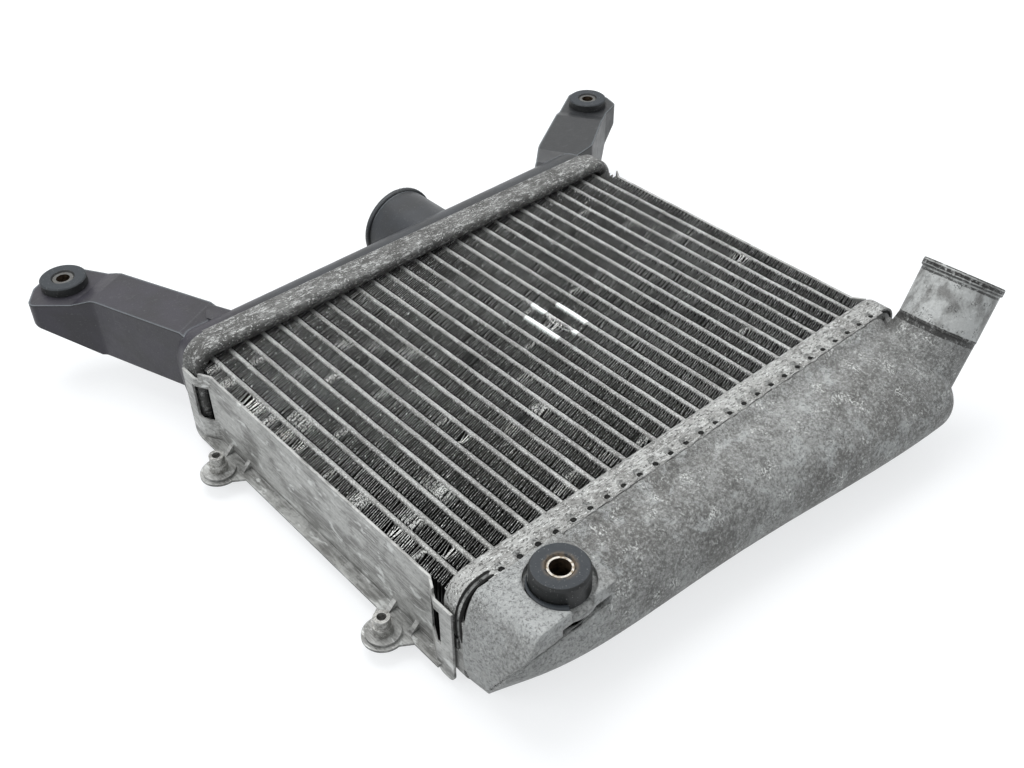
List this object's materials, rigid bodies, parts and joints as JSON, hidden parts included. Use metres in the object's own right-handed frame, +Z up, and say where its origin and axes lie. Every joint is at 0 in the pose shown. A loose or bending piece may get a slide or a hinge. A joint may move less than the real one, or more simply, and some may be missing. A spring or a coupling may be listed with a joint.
{
  "type": "air-to-air intercooler",
  "caption": "Flat tube-and-fin charge air cooler with a cast tank and leaning spigot on one side and a moulded tank with two mounting arms on the other.",
  "frame": {"origin": "centre of the cast tank's mounting sleeve, at its upper end", "axes": "+X along the headers towards the leaning spigot's end, +Y along the tubes towards the moulded tank, +Z up along the mounting sleeves"},
  "size_m": [0.4668, 0.4522, 0.11],
  "materials": {
    "tube_aluminium": "drawn",
    "fin_aluminium": "folded foil, darkened",
    "header_aluminium": "pressed",
    "gasket_rubber": "moulded",
    "cast_aluminium": "sand cast",
    "tank_plastic": "moulded",
    "plate_aluminium": "rolled",
    "bushing_rubber": "moulded",
    "sleeve_steel": "turned",
    "nut_steel": "turned"
  },
  "bodies": {
    "root": {"core_tubes": "tube_aluminium", "core_fins": "fin_aluminium", "header_plate_front": "header_aluminium", "header_plate_rear": "header_aluminium", "gasket_front": "gasket_rubber", "gasket_rear": "gasket_rubber", "tank_cast": "cast_aluminium", "tank_plastic": "tank_plastic", "side_plate_left": "plate_aluminium", "side_plate_right": "plate_aluminium", "bushing_front": "bushing_rubber", "bushing_left": "bushing_rubber", "bushing_right": "bushing_rubber", "sleeve_front": "sleeve_steel", "sleeve_left": "sleeve_steel", "sleeve_right": "sleeve_steel", "lug_nuts": "nut_steel"}
  },
  "joints": []
}
